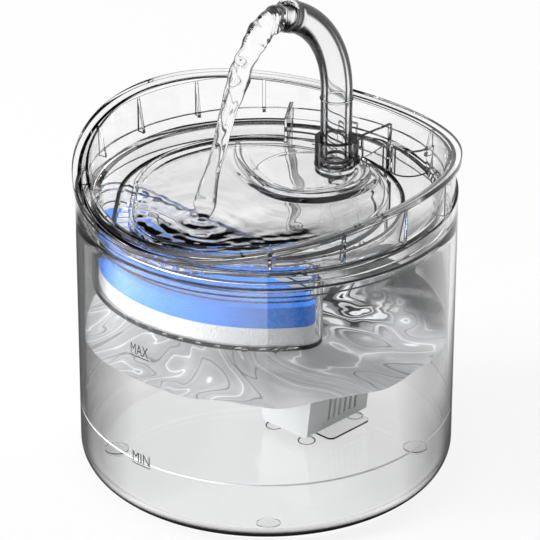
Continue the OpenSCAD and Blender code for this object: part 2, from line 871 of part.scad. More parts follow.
module motor_potting() {
    color([0.25, 0.25, 0.27])
        translate([-pocket_half + 0.05, pocket_y0 + 0.05, pocket_z0 + 0.05])
            cube([2 * pocket_half - 0.1, pocket_y1 - pocket_y0 - 0.1, potting_h]);
}

module cable_gland() {
    color([0.85, 0.85, 0.85]) translate([-gland_x, gland_y, gland_z]) rotate([0, -90, 0])
        rotate_extrude() polygon([[0, 0], [gland_r, 0], [gland_r, 4], [gland_r - 0.9, gland_len],
                                  [1.9, gland_len], [1.9, 3], [0, 3]]);
}

module pump_base_plate() {
    y0 = cover_front_y - 1.5;
    y1 = pump_back_y - 5;
    c = plate_corner_r;
    color(clear_colour) translate([0, 0, pump_z - plate_t]) difference() {
        union() {
            translate([-plate_half, y0 + c, 0]) cube([2 * plate_half, y1 - y0 - 2 * c, plate_t]);
            translate([-plate_half + c, y0, 0]) cube([2 * plate_half - 2 * c, y1 - y0, plate_t]);
            for (x = [-plate_half + c, plate_half - c], y = [y0 + c, y1 - c])
                translate([x, y, 0]) cylinder(r = c, h = plate_t);
        }
        for (p = pump_feet) translate([p.x, p.y, -1]) cylinder(r = foot_stem_r + 0.2, h = 4);
    }
}

module suction_feet() {
    color([0.85, 0.87, 0.88, 0.7]) for (p = pump_feet) translate([p.x, p.y, floor_z]) rotate_extrude()
        polygon([[0, 1], [3.2, 0.3], [3.6, 0], [4.2, 0], [4.2, 0.5], [2.4, foot_pad_h],
                 [foot_stem_r, foot_pad_h], [foot_stem_r, foot_pad_h + plate_t + 1.3],
                 [0, foot_pad_h + plate_t + 1.3]]);
}

tank();
tank_feet();
tray_rim();
tray_bowl();
spout_collar();
filling_chute();
filter_hanger();
spout_pipe();
spout_nozzle();
spout_seal();
riser_tube();
riser_seal();
filter_box();
filter_cotton();
filter_sponge();
pump_housing();
pump_cover();
impeller_chamber();
chamber_seal();
impeller();
rotor_magnet();
rotor_shaft();
front_bush();
rear_bush();
stator_core();
stator_coil();
motor_potting();
flow_slider();
cable_gland();
pump_base_plate();
suction_feet();
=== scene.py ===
import json
import math

import bmesh
import bpy
import numpy as np
from mathutils import Matrix, Vector

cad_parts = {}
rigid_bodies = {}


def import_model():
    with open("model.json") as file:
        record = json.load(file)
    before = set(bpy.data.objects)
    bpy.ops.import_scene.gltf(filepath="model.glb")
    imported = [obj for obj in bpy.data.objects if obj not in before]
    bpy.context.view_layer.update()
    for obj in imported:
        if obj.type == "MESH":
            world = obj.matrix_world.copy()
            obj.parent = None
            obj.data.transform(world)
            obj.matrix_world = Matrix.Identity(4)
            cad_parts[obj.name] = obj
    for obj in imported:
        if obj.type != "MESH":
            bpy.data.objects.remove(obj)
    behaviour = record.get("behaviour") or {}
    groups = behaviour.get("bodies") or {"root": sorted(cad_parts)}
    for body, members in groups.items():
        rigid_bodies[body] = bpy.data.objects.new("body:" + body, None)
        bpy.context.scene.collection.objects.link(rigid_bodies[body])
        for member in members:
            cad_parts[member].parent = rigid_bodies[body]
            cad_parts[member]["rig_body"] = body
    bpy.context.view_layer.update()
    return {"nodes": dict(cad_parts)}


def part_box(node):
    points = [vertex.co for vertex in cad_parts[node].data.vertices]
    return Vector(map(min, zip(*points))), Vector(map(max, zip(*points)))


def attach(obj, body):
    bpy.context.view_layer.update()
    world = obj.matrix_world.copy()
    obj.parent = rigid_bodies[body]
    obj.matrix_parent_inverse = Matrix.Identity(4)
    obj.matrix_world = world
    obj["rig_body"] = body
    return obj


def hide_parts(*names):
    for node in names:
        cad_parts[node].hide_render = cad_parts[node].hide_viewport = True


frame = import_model()
nodes = frame["nodes"]
mm = 0.001
print("frame loaded", len(nodes), "nodes")

# levels and radius that the pieces share, read off the frame
tankLow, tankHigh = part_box("tank")
jointZ = tankHigh.z  # where the tray sits on the tank
tankR = tankHigh.x
white = (1, 1, 1, 1)


def add(tree, kind, inputs=(), **settings):
    # a shader node with its settings; an input given as a socket is linked, any other is set as a constant
    made = tree.nodes.new("ShaderNode" + kind)
    for name, value in settings.items():
        setattr(made, name, value)
    for key, value in dict(inputs).items():
        if isinstance(value, bpy.types.NodeSocket):
            tree.links.new(value, made.inputs[key])
        else:
            made.inputs[key].default_value = value
    return made


def maths(tree, operation, *values):
    # one operation on sockets and numbers
    return add(tree, "Math", enumerate(values), operation=operation).outputs[0]


def mapped(tree, value, low, high, toLow=0, toHigh=1, **settings):
    # change of one range into another, held at both ends
    inputs = {"Value": value, "From Min": low, "From Max": high, "To Min": toLow, "To Max": toHigh}
    return add(tree, "MapRange", inputs, **settings).outputs["Result"]


def blend(tree, factor, first, second):
    # from one colour to another as the factor goes from 0 to 1
    return add(tree, "Mix", {"Factor": factor, "A": first, "B": second}, data_type="RGBA").outputs["Result"]


def greyRamp(tree, value, stops):
    # grey from pairs of place and level
    made = add(tree, "ValToRGB", {0: value})
    while len(made.color_ramp.elements) < len(stops):
        made.color_ramp.elements.new(0.5)
    for element, (at, level) in zip(made.color_ramp.elements, stops):
        element.position = at
        element.color = (level, level, level, 1)
    return made


def objectPlace(tree):
    return add(tree, "TexCoord").outputs["Object"]


view = {
    "azimuth": 44.0,  # degrees round the object from the front
    "elevation": 27.14,
    "roll": 0.17,
    "place": (0.0016, -1.395, 0.6806),  # before the turn by the azimuth, z above the tank's rim
    "lens": 226.07,
    "sensor": 36.0,
    "clip": (0.05, 50.0),
}


def makeCamera():
    data = bpy.data.cameras.new("camera")
    data.lens = view["lens"]
    data.sensor_width = view["sensor"]
    data.clip_start, data.clip_end = view["clip"]
    camera = bpy.data.objects.new("camera", data)
    bpy.context.scene.collection.objects.link(camera)
    turn = Matrix.Rotation(math.radians(view["azimuth"]), 4, "Z")
    tilt = Matrix.Rotation(math.radians(90 - view["elevation"]), 4, "X")
    roll = Matrix.Rotation(math.radians(view["roll"]), 4, "Z")
    x, y, z = view["place"]
    camera.matrix_world = turn @ Matrix.Translation((x, y, z + jointZ)) @ tilt @ roll
    bpy.context.scene.camera = camera


studio = {
    "floorSize": 8.0,
    "floorWhite": 0.86,
    "floorGlow": 0.86,  # share of the floor's look that doesn't take shade
    # shade of the flags by place across the view, how far back they reach, and the card's edges, all in metres
    "flags": [(-0.3, 0.1), (-0.12, 0.02), (-0.086, 0.02), (-0.08, 1.0),
              (0.084, 1.0), (0.089, 0.05), (0.118, 0.05), (0.14, 1.0)],
    "flagDepth": (0.26, 0.23),
    "cardFront": (0.06, 0.0), "cardLeft": (0.004, 0.002), "cardReach": (0.2, 0.3), "cardEnd": (0.42, 0.36),
    "cardWhite": 3.4,
    # the room that gloss and clear plastic see: bright at the horizon, dark above it, a lit ceiling
    "room": [(0.0, 1.0), (0.36, 1.0), (0.5, 0.06), (0.78, 0.05), (0.88, 0.85), (1.0, 1.0)],
    "worldWhite": 1.0,
    "worldFill": 0.3,
    "lamps": [
        # name, place, aim, size x, size y, watts
        ("key", (-0.9, -1.25, 1.0), (0, 0, 0.1), 0.9, 0.9, 42.0),
        ("side", (1.4, -0.3, 0.7), (0, 0, 0.1), 0.5, 1.1, 1.0),
        ("rear", (0.1, 1.5, 1.0), (0, 0, 0.12), 1.2, 0.6, 10.0),
    ],
}


def seenBackdrop(tree):
    # one where the camera, a reflection or a view through clear plastic looks at the backdrop,
    # and none for light that has already bounced off something dull
    path = add(tree, "LightPath").outputs
    straight = maths(tree, "MAXIMUM", path["Is Camera Ray"], path["Is Transmission Ray"])
    looked = maths(tree, "MAXIMUM", straight, path["Is Glossy Ray"])
    direct = maths(tree, "LESS_THAN", path["Diffuse Depth"], 0.5)
    return maths(tree, "MULTIPLY", looked, direct), path


def glossView(tree, isGloss):
    # gloss sees two dark flags that stand behind the object on either side and a bright card on its left
    place = objectPlace(tree)
    turn = {"Vector": place, "Angle": -math.radians(view["azimuth"])}
    turned = add(tree, "VectorRotate", turn, rotation_type="Z_AXIS").outputs[0]
    across = add(tree, "SeparateXYZ", {0: turned}).outputs
    reach = add(tree, "VectorMath", {0: place}, operation="LENGTH").outputs["Value"]
    size = studio["floorSize"]
    stops = [(0.5 + at / size, level) for at, level in studio["flags"]]
    sides = greyRamp(tree, mapped(tree, across["X"], -size / 2, size / 2), stops).outputs[0]
    flags = blend(tree, mapped(tree, across["Y"], *studio["flagDepth"]), white, sides)
    card = maths(tree, "MULTIPLY", mapped(tree, across["Y"], *studio["cardFront"]),
                 mapped(tree, across["X"], *studio["cardLeft"]))
    for edge in ("cardReach", "cardEnd"):
        card = maths(tree, "MULTIPLY", card, mapped(tree, reach, *studio[edge]))
    return blend(tree, isGloss, white, blend(tree, card, flags, (*[studio["cardWhite"]] * 3, 1)))


def makeFloor():
    half = studio["floorSize"] / 2
    mesh = bpy.data.meshes.new("floor")
    mesh.from_pydata([(-half, -half, 0), (half, -half, 0), (half, half, 0), (-half, half, 0)], [], [(0, 1, 2, 3)])
    floor = bpy.data.objects.new("floor", mesh)
    bpy.context.scene.collection.objects.link(floor)
    material = bpy.data.materials.new("paleFloor")
    material.use_nodes = True
    tree = material.node_tree
    tree.nodes.clear()
    seen, path = seenBackdrop(tree)
    dull = add(tree, "BsdfDiffuse", {"Color": (*[studio["floorWhite"]] * 3, 1)}).outputs[0]
    glow = add(tree, "Emission", {"Color": glossView(tree, path["Is Glossy Ray"])}).outputs[0]
    share = maths(tree, "MULTIPLY", seen, studio["floorGlow"])
    both = add(tree, "MixShader", {0: share, 1: dull, 2: glow}).outputs[0]
    add(tree, "OutputMaterial", {"Surface": both})
    mesh.materials.append(material)


def makeWorld():
    world = bpy.data.worlds.new("studio")
    bpy.context.scene.world = world
    world.use_nodes = True
    tree = world.node_tree
    tree.nodes.clear()
    seen, path = seenBackdrop(tree)
    place = add(tree, "TexCoord").outputs["Generated"]
    height = add(tree, "SeparateXYZ", {0: place}).outputs["Z"]
    look = greyRamp(tree, height, studio["room"])
    look.color_ramp.interpolation = "EASE"
    room = add(tree, "Background", {"Color": look.outputs[0]}).outputs[0]
    fill = add(tree, "Background", {"Color": white, "Strength": studio["worldFill"]}).outputs[0]
    plain = add(tree, "Background", {"Color": white, "Strength": studio["worldWhite"]}).outputs[0]
    inner = add(tree, "MixShader", {0: seen, 1: fill, 2: room}).outputs[0]
    outer = add(tree, "MixShader", {0: path["Is Camera Ray"], 1: inner, 2: plain}).outputs[0]
    add(tree, "OutputWorld", {"Surface": outer})


def makeLamps():
    for name, place, aim, sizeX, sizeY, watts in studio["lamps"]:
        data = bpy.data.lights.new(name, "AREA")
        data.shape = "RECTANGLE"
        data.size, data.size_y, data.energy = sizeX, sizeY, watts
        lamp = bpy.data.objects.new(name, data)
        bpy.context.scene.collection.objects.link(lamp)
        lamp.location = place
        lamp.rotation_mode = "QUATERNION"
        lamp.rotation_quaternion = (Vector(aim) - Vector(place)).to_track_quat("-Z", "Y")
        lamp.visible_camera = False
        lamp.visible_transmission = False


def read(items, key, width, kind=np.float64):
    # one value of every vertex, edge, loop or face of a mesh as rows of an array
    values = np.zeros(len(items) * width, kind)
    items.foreach_get(key, values)
    return values.reshape(-1, width)


def putMesh(name, points, faces, body, look, sharp=30):
    # a mesh piece from an array of points and arrays of faces, smooth but for edges past the angle
    mesh = bpy.data.meshes.new(name)
    mesh.from_pydata(points.reshape(-1, 3).tolist(), [], [face for part in faces for face in part.tolist()])
    mesh.validate()
    mesh.shade_smooth()
    mesh.set_sharp_from_angle(angle=math.radians(sharp))
    mesh.materials.append(looks[look])
    piece = bpy.data.objects.new(name, mesh)
    bpy.context.scene.collection.objects.link(piece)
    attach(piece, body)
    return piece


def ringFaces(rows, around):
    # quads between neighbouring rings of points
    a, b = np.meshgrid(np.arange(rows - 1), np.arange(around), indexing="ij")
    after = (b + 1) % around
    low, high = a * around, (a + 1) * around
    return np.stack([low + b, high + b, high + after, low + after], -1).reshape(-1, 4)


def closedRings(rings, start, end, turned=False):
    # points and faces of a stack of rings with a middle point at either end, the other way round when turned
    rows, around = rings.shape[:2]
    j = np.arange(around)
    after, last, pole = (j + 1) % around, (rows - 1) * around, rows * around
    faces = [ringFaces(rows, around), np.stack([np.full(around, pole), j, after], -1),
             np.stack([np.full(around, pole + 1), last + after, last + j], -1)]
    points = np.concatenate([rings.reshape(-1, 3), [start], [end]])
    return points, [part[:, ::-1] for part in faces] if turned else faces


def shadePoints(piece, values):
    shade = piece.data.attributes.new("shade", "FLOAT", "POINT")
    shade.data.foreach_set("value", values)


def frames(path):
    # normals and binormals along a path, the normal carried without twist
    tangent = np.gradient(path, axis=0)
    tangent /= np.linalg.norm(tangent, axis=1)[:, None]
    normal = np.zeros_like(path)
    normal[0] = np.cross(tangent[0], [1.0, 0.2, 0.1])
    normal[0] /= np.linalg.norm(normal[0])
    for k in range(1, len(path)):
        n = normal[k - 1] - tangent[k] * (normal[k - 1] @ tangent[k])
        normal[k] = n / np.linalg.norm(n)
    return normal, np.cross(tangent, normal)


copies = {"merge": 2e-6, "angle": 32}


def smoothCopy(node):
    # the CAD mesh merged and shaded smooth, standing for its node
    source = nodes[node]
    mesh = source.data.copy()
    for old in ("custom_normal", "sharp_edge", "sharp_face"):
        if old in mesh.attributes:
            mesh.attributes.remove(mesh.attributes[old])
    work = bmesh.new()
    work.from_mesh(mesh)
    bmesh.ops.remove_doubles(work, verts=work.verts, dist=copies["merge"])
    work.to_mesh(mesh)
    work.free()
    mesh.materials.clear()
    mesh.shade_smooth()
    mesh.set_sharp_from_angle(angle=math.radians(copies["angle"]))
    piece = bpy.data.objects.new(node + "_clear", mesh)
    bpy.context.scene.collection.objects.link(piece)
    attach(piece, source["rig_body"])
    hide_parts(node)
    return piece


def startMaterial(name, inputs):
    # a material whose shader has these constants
    material = bpy.data.materials.new(name)
    material.use_nodes = True
    tree = material.node_tree
    shader = tree.nodes["Principled BSDF"]
    for key, value in inputs.items():
        shader.inputs[key].default_value = value
    return material, tree, shader


lampTint = (0.93, 0.94, 0.95, 1)


def letLampsThrough(tree, shader):
    # lamp light passes the clear walls straight
    through = add(tree, "BsdfTransparent", {"Color": lampTint}).outputs[0]
    shadow = add(tree, "LightPath").outputs["Is Shadow Ray"]
    mix = add(tree, "MixShader", {0: shadow, 1: shader.outputs[0], 2: through})
    tree.links.new(mix.outputs[0], tree.nodes["Material Output"].inputs["Surface"])


def clearMaterial(name, ior, roughness, stops, plainFrom=None):
    # clear body with painted shade: its colour darkens in steps as the surface turns away from the eye, up to the
    # level plainFrom
    material, tree, shader = startMaterial(name, {"Transmission Weight": 1.0, "Roughness": roughness, "IOR": ior})
    facing = add(tree, "LayerWeight", {"Blend": 0.5}).outputs["Facing"]
    colour = greyRamp(tree, facing, stops).outputs[0]
    if plainFrom:
        height = add(tree, "SeparateXYZ", {0: objectPlace(tree)}).outputs["Z"]
        colour = blend(tree, mapped(tree, height, plainFrom - 2 * mm, plainFrom), colour, white)
    tree.links.new(colour, shader.inputs["Base Color"])
    letLampsThrough(tree, shader)
    return material


def makeSkinGroup():
    # moulded surface: slow cloudy change of colour and gloss, and a fine grain as height
    group = bpy.data.node_groups.new("mouldedSkin", "ShaderNodeTree")
    for socket, kind, start in (("Place", "Vector", None), ("Colour", "Color", None), ("Roughness", "Float", 0.4),
                                ("Mottle", "Float", 0.06), ("Cloud Scale", "Float", 40.0),
                                ("Grain Scale", "Float", 400.0)):
        made = group.interface.new_socket(name=socket, in_out="INPUT", socket_type="NodeSocket" + kind)
        if start is not None:
            made.default_value = start
    for socket, kind in (("Colour", "Color"), ("Roughness", "Float"), ("Height", "Float")):
        group.interface.new_socket(name=socket, in_out="OUTPUT", socket_type="NodeSocket" + kind)
    given = group.nodes.new("NodeGroupInput").outputs
    out = group.nodes.new("NodeGroupOutput")
    cloud = add(group, "TexNoise", {"Vector": given["Place"], "Scale": given["Cloud Scale"], "Detail": 3.0})
    centred = maths(group, "SUBTRACT", cloud.outputs["Fac"], 0.5)
    level = maths(group, "MULTIPLY_ADD", centred, given["Mottle"], 1.0)
    shade = add(group, "VectorMath", {0: given["Colour"], "Scale": level}, operation="SCALE")
    fine = add(group, "TexNoise", {"Vector": given["Place"], "Scale": given["Grain Scale"], "Detail": 4.0})
    group.links.new(shade.outputs[0], out.inputs["Colour"])
    group.links.new(maths(group, "MULTIPLY", given["Roughness"], level), out.inputs["Roughness"])
    group.links.new(fine.outputs["Fac"], out.inputs["Height"])
    return group


skinGroup = makeSkinGroup()


def plainMaterial(name, colour, roughness, metallic=0.0, grain=0.1, grainScale=400.0, mottle=0.12, depth=0.0004):
    # moulded plastic, rubber, metal or wadding: the shared skin with its own colour, gloss and grain
    material, tree, shader = startMaterial(name, {"Metallic": metallic})
    skin = tree.nodes.new("ShaderNodeGroup")
    skin.node_tree = skinGroup
    for key, value in (("Colour", (*colour, 1)), ("Roughness", roughness), ("Mottle", mottle),
                       ("Grain Scale", grainScale)):
        skin.inputs[key].default_value = value
    tree.links.new(objectPlace(tree), skin.inputs["Place"])
    tree.links.new(skin.outputs["Colour"], shader.inputs["Base Color"])
    tree.links.new(skin.outputs["Roughness"], shader.inputs["Roughness"])
    bump = add(tree, "Bump", {"Strength": grain, "Distance": depth, "Height": skin.outputs["Height"]})
    tree.links.new(bump.outputs["Normal"], shader.inputs["Normal"])
    return material


foam = {
    "colour": (0.07, 0.32, 1.0), "dark": (0.02, 0.13, 0.8),
    "from": 0.25, "to": 0.95,  # pore distance plus cloud where the painted pore shade ends and the colour begins
    "cell": 0.9 * mm, "cloudCells": 0.16, "cloud": 0.6,
}


def foamMaterial(name):
    # open-cell foam: round pores of one size, dark inside as painted shade, with pale cell walls between them
    material, tree, shader = startMaterial(name, {"Roughness": 0.95, "Specular IOR Level": 0.15})
    place = objectPlace(tree)
    pores = add(tree, "TexVoronoi", {"Vector": place, "Scale": 1 / foam["cell"]}).outputs["Distance"]
    cloud = add(tree, "TexNoise", {"Vector": place, "Scale": foam["cloudCells"] / foam["cell"], "Detail": 3.0})
    level = maths(tree, "MULTIPLY_ADD", cloud.outputs["Fac"], foam["cloud"], pores)
    ramp = add(tree, "ValToRGB", {0: level})
    for element, at, colour in zip(ramp.color_ramp.elements, ("from", "to"), ("dark", "colour")):
        element.position = foam[at]
        element.color = (*foam[colour], 1)
    tree.links.new(ramp.outputs[0], shader.inputs["Base Color"])
    bump = add(tree, "Bump", {"Strength": 0.8, "Distance": 0.4 * foam["cell"], "Height": pores})
    tree.links.new(bump.outputs["Normal"], shader.inputs["Normal"])
    return material


sheet = {
    "cloud": {"Scale": 13.0, "Detail": 2.5, "Distortion": 1.4},
    # painted reflections, grey by share of a turn: a thin light line and a thin dark one
    "lines": [(0.0, 0.46), (0.1, 0.56), (0.3, 0.48), (0.455, 0.53), (0.49, 1.0), (0.53, 0.58), (0.75, 0.46),
              (0.93, 0.52), (0.98, 0.2), (1.0, 0.42)],
    "lineTurns": 8.5,
    # painted shade over the far side: its direction, wander, where it begins and ends in metres, and its shade
    "farWay": (0.2, 0.98, 0.0), "farWander": 0.05, "far": (0.07, 0.09, 1.0, 0.1),
    # below the filter box's end the water is stirred: its reflections are painted as bold black and white bands
    # round one spot
    "bands": [(0.0, 0.01), (0.16, 0.02), (0.22, 0.9), (0.34, 0.95), (0.42, 0.3), (0.58, 0.25), (0.66, 0.01),
              (0.8, 0.02), (0.86, 0.7), (1.0, 0.4)],
    "bandTurns": 11.0,
    "spot": (0.018, 0.029, 0.0729), "spotReach": (0.03, 0.045), "spotWander": 0.03,
}


def sheetMaterial(name):
    # wavy water seen from above: painted reflections as contour lines of a warped noise, with painted shade over
    # the far side
    material, tree, shader = startMaterial(name, {"Transmission Weight": 0.12, "Roughness": 0.06, "IOR": 1.33})
    place = objectPlace(tree)
    cloud = add(tree, "TexNoise", {"Vector": place, **sheet["cloud"]}).outputs["Fac"]

    def contours(turns, stops):
        part = maths(tree, "FRACT", maths(tree, "MULTIPLY", cloud, turns))
        return greyRamp(tree, part, stops).outputs[0]

    def measured(operation, other, wander):
        value = add(tree, "VectorMath", {0: place, 1: other}, operation=operation).outputs["Value"]
        return maths(tree, "MULTIPLY_ADD", cloud, wander, value)

    away = measured("DISTANCE", sheet["spot"], sheet["spotWander"])
    paintedReflection = blend(tree, mapped(tree, away, *sheet["spotReach"], 1, 0),
                 contours(sheet["lineTurns"], sheet["lines"]), contours(sheet["bandTurns"], sheet["bands"]))
    # painted shade that darkens the far side
    far = measured("DOT_PRODUCT", sheet["farWay"], sheet["farWander"])
    paintedFarShade = mapped(tree, far, *sheet["far"], interpolation_type="SMOOTHSTEP")
    shade = add(tree, "VectorMath", {0: paintedReflection, "Scale": paintedFarShade}, operation="SCALE")
    tree.links.new(shade.outputs[0], shader.inputs["Base Color"])
    return material


def paintedRibMaterial(name):
    # polished rib with painted highlight and painted shade: milky or near black by its "shade", which follows its
    # angle round the channel
    material, tree, shader = startMaterial(name, {"Roughness": 0.08})
    shade = add(tree, "Attribute", attribute_name="shade").outputs["Fac"]
    colour = greyRamp(tree, shade, [(0.0, 0.01), (0.5, 0.3), (1.0, 0.95)]).outputs[0]
    tree.links.new(colour, shader.inputs["Base Color"])
    return material


def outsideOnly(name):
    # a dark skin that shows from outside by its "shade" and vanishes from behind
    constants = {"Base Color": (0.02, 0.02, 0.022, 1), "Roughness": 0.9, "IOR": 1.0, "Specular IOR Level": 0.0}
    material, tree, shader = startMaterial(name, constants)
    front = maths(tree, "SUBTRACT", 1.0, add(tree, "NewGeometry").outputs["Backfacing"])
    shade = add(tree, "Attribute", attribute_name="shade").outputs["Fac"]
    tree.links.new(maths(tree, "MULTIPLY", front, shade), shader.inputs["Alpha"])
    return material


clearLooks = {
    # refractive index, roughness, painted shade as grey by how far the surface turns away, and the level from which
    # it stays plain
    "tankPlastic": (1.3, 0.0, [(0.0, 0.93), (0.42, 0.93), (0.6, 0.98), (0.68, 0.97), (0.74, 0.78), (0.86, 0.7),
                               (0.9, 0.08), (1.0, 0.0)], jointZ - 2 * mm),
    "trayPlastic": (1.34, 0.0, [(0.0, 0.995), (0.6, 0.99), (0.84, 0.88), (0.95, 0.3), (1.0, 0.01)]),
    "boxPlastic": (1.3, 0.0, [(0.0, 0.97), (0.5, 0.95), (0.66, 0.5), (0.8, 0.06), (1.0, 0.0)]),
    "tubePlastic": (1.22, 0.0, [(0.0, 0.98), (0.4, 0.93), (0.46, 0.2), (0.51, 0.003), (1.0, 0.0)]),
    "waterClear": (1.33, 0.0, [(0.0, 0.99), (0.6, 0.97), (0.74, 0.7), (0.88, 0.12), (1.0, 0.0)]),
    "waterFalling": (1.22, 0.0, [(0.0, 1.0), (0.47, 0.98), (0.57, 0.4), (0.63, 0.01), (1.0, 0.0)]),
    "waterSide": (1.01, 0.0, [(0.0, 0.985), (1.0, 0.9)]),
    "softClear": (1.3, 0.02, [(0.0, 0.95), (0.6, 0.9), (1.0, 0.35)]),
    "smokePlastic": (1.5, 0.02, [(0.0, 0.3), (0.4, 0.12), (1.0, 0.01)]),
    "padClear": (1.02, 0.0, [(0.0, 0.97), (1.0, 0.9)]),
}
plainLooks = {
    # colour, roughness, and what differs from the usual grain
    "whitePlastic": ((0.8, 0.8, 0.79), 0.38, {"grain": 0.15}),
    "greyPlastic": ((0.6, 0.62, 0.65), 0.4, {"grain": 0.15}),
    "bluePlastic": ((0.12, 0.25, 0.6), 0.4, {}),
    "blackRubber": ((0.03, 0.03, 0.035), 0.6, {"grain": 0.2}),
    "ferrite": ((0.07, 0.07, 0.075), 0.45, {"metallic": 0.5}),
    "ceramic": ((0.85, 0.84, 0.8), 0.15, {}),
    "coreSteel": ((0.5, 0.51, 0.53), 0.35, {"metallic": 1.0}),
    "copperWire": ((0.75, 0.33, 0.12), 0.35, {"metallic": 0.8}),
    "pottingResin": ((0.04, 0.04, 0.045), 0.3, {}),
    "cotton": ((0.88, 0.88, 0.87), 0.95, {"grain": 1.0, "grainScale": 900.0, "mottle": 0.25, "depth": 0.001}),
    "markInk": ((0.02, 0.02, 0.02), 0.5, {}),
    # painted shade: the dark lines along the clear edges
    "paintedEdgeShade": ((0.012, 0.012, 0.014), 0.3, {}),
    # painted highlight along the low-water bead
    "paintedHighlightLine": ((0.98, 0.98, 0.98), 0.4, {}),
    # painted reflection: the foam's blue seen in the channel slots
    "blueGleam": ((0.01, 0.14, 0.8), 0.2, {}),
}
looks = {name: clearMaterial(name, *numbers) for name, numbers in clearLooks.items()}
for name, (colour, roughness, more) in plainLooks.items():
    looks[name] = plainMaterial(name, colour, roughness, **more)
for name, make in (("sponge", foamMaterial), ("waterSheet", sheetMaterial), ("ribPlastic", paintedRibMaterial),
                   ("baseShade", outsideOnly)):
    looks[name] = make(name)

nodeLooks = {
    "tank_feet": "softClear", "suction_feet": "padClear", "spout_nozzle": "smokePlastic",
    "spout_seal": "blackRubber", "riser_seal": "blackRubber", "chamber_seal": "blackRubber",
    "front_bush": "blackRubber", "rear_bush": "blackRubber",
    "filter_cotton": "cotton", "filter_sponge": "sponge",
    "pump_housing": "whitePlastic", "pump_cover": "whitePlastic", "impeller_chamber": "whitePlastic",
    "cable_gland": "whitePlastic", "flow_slider": "greyPlastic", "impeller": "bluePlastic",
    "rotor_magnet": "ferrite", "rotor_shaft": "ceramic", "stator_core": "coreSteel",
    "stator_coil": "copperWire", "motor_potting": "pottingResin",
}
clearNodes = {
    # material, and half width of the painted dark lines of shade along the edges
    "tray_rim": ("trayPlastic", 0.12 * mm), "tray_bowl": ("trayPlastic", 0.14 * mm),
    "filling_chute": ("trayPlastic", 0.16 * mm), "filter_hanger": ("trayPlastic", 0.14 * mm),
    "spout_collar": ("tubePlastic", 0.2 * mm), "spout_pipe": ("tubePlastic", 0.14 * mm),
    "riser_tube": ("padClear", 0.16 * mm), "filter_box": ("boxPlastic", 0.16 * mm),
    "pump_base_plate": ("softClear", None),
}
edges = {
    "sharpest": 38,  # degrees between two faces from which their edge counts
    "lowest": jointZ + 3.3 * mm, "within": 0.92 * tankR,  # hidden edges of the tray's two large pieces
    "partHidden": ("tray_rim", "tray_bowl"),
    "inset": 1.5,  # in half widths
}


def edgeLines(piece, radius, lowest):
    # the small round on every moulded edge bends light away, so it reads as a thin dark line:
    # a dark four-sided bar, painted as that shade, runs inside the plastic along each sharp edge
    mesh = piece.data
    co, normals = read(mesh.vertices, "co", 3), read(mesh.polygons, "normal", 3)
    ends = read(mesh.edges, "vertices", 2, np.int32)
    loopEdge, loopStart = (read(mesh.loops, key, 1, np.int32)[:, 0] for key in ("edge_index", "vertex_index"))
    loopFace = np.repeat(np.arange(len(normals)), read(mesh.polygons, "loop_total", 1, np.int32)[:, 0])
    count = np.bincount(loopEdge, minlength=len(ends))
    paired = np.flatnonzero(count == 2)
    order = np.argsort(loopEdge, kind="stable")
    first = (np.cumsum(count) - count)[paired]
    one, other = normals[loopFace[order[first]]], normals[loopFace[order[first + 1]]]
    start, end = co[ends[paired, 0]], co[ends[paired, 1]]
    middle = (start + end) / 2
    hidden = (middle[:, 2] < lowest) & (np.hypot(middle[:, 0], middle[:, 1]) < edges["within"])
    angle = np.degrees(np.arccos(np.clip((one * other).sum(1), -1, 1)))
    kept = (angle >= edges["sharpest"]) & ~hidden
    # an edge stands out when the turn from one face to the other runs along the way the first face passes it
    along = np.where((loopStart[order[first]] == ends[paired, 0])[:, None], end - start, start - end)
    convex = (along * np.cross(one, other)).sum(1) > 0
    mean = one + other
    length = np.linalg.norm(mean, axis=1)[:, None]
    mean = np.where(length > 1e-6, mean / np.maximum(length, 1e-6), [[0.0, 0.0, 1.0]]) * convex[:, None]
    shift = -mean[kept] * radius * edges["inset"]
    start, end = start[kept] + shift, end[kept] + shift
    along = end - start
    along /= np.linalg.norm(along, axis=1)[:, None]
    aside = np.where(np.abs(along[:, 2:3]) < 0.9, [[0.0, 0.0, 1.0]], [[1.0, 0.0, 0.0]])
    side = np.cross(along, aside)
    side /= np.linalg.norm(side, axis=1)[:, None]
    up = np.cross(side, along)
    ring = np.stack([side, up, -side, -up], 1) * radius
    points = np.concatenate([start[:, None] + ring, end[:, None] + ring], 1)
    walls = np.array([[4, 5, 1, 0], [5, 6, 2, 1], [6, 7, 3, 2], [7, 4, 0, 3], [0, 1, 2, 3], [7, 6, 5, 4]])
    bars = np.arange(len(points))[:, None, None] * 8 + walls
    name = piece.name.replace("_clear", "") + "_edges"
    putMesh(name, points, [bars.reshape(-1, 4)], piece["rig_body"], "paintedEdgeShade", sharp=100)
    print(name, len(points), "edges")


def dressNodes():
    for name, look in nodeLooks.items():
        mesh = nodes[name].data
        if not mesh.materials:
            mesh.materials.append(looks[look])
        for k in range(len(mesh.materials)):
            mesh.materials[k] = looks[look]
    for name, (look, width) in clearNodes.items():
        piece = smoothCopy(name)
        piece.data.materials.append(looks[look])
        if width:
            edgeLines(piece, width, edges["lowest"] if name in edges["partHidden"] else -1.0)


tank = {
    "r": tankR, "wall": 2.8 * mm, "floor": 3.2 * mm,
    "edge": 11.4 * mm, "lip": 0.5 * mm,  # radius of the rounded foot and of the rim
    "low": tankLow.z, "high": tankHigh.z,
    "line": tankLow.z + 30.5 * mm, "lineR": 0.45 * mm,  # the bead of the low-water line
    "middle": 0.5 * mm,  # the innermost ring
    "around": 288,
}


def arc(centre, radius, start, end, count):
    a = np.radians(np.linspace(start, end, count))
    return np.stack([centre[0] + radius * np.cos(a), centre[1] + radius * np.sin(a)], -1)


def revolve(profile, around):
    # rings of points of a profile (radius, height) turned about Z
    a = np.linspace(0, 2 * np.pi, around, endpoint=False)
    r, z = profile[:, :1], profile[:, 1:]
    return np.stack([r * np.cos(a), r * np.sin(a), z + 0 * a], -1)


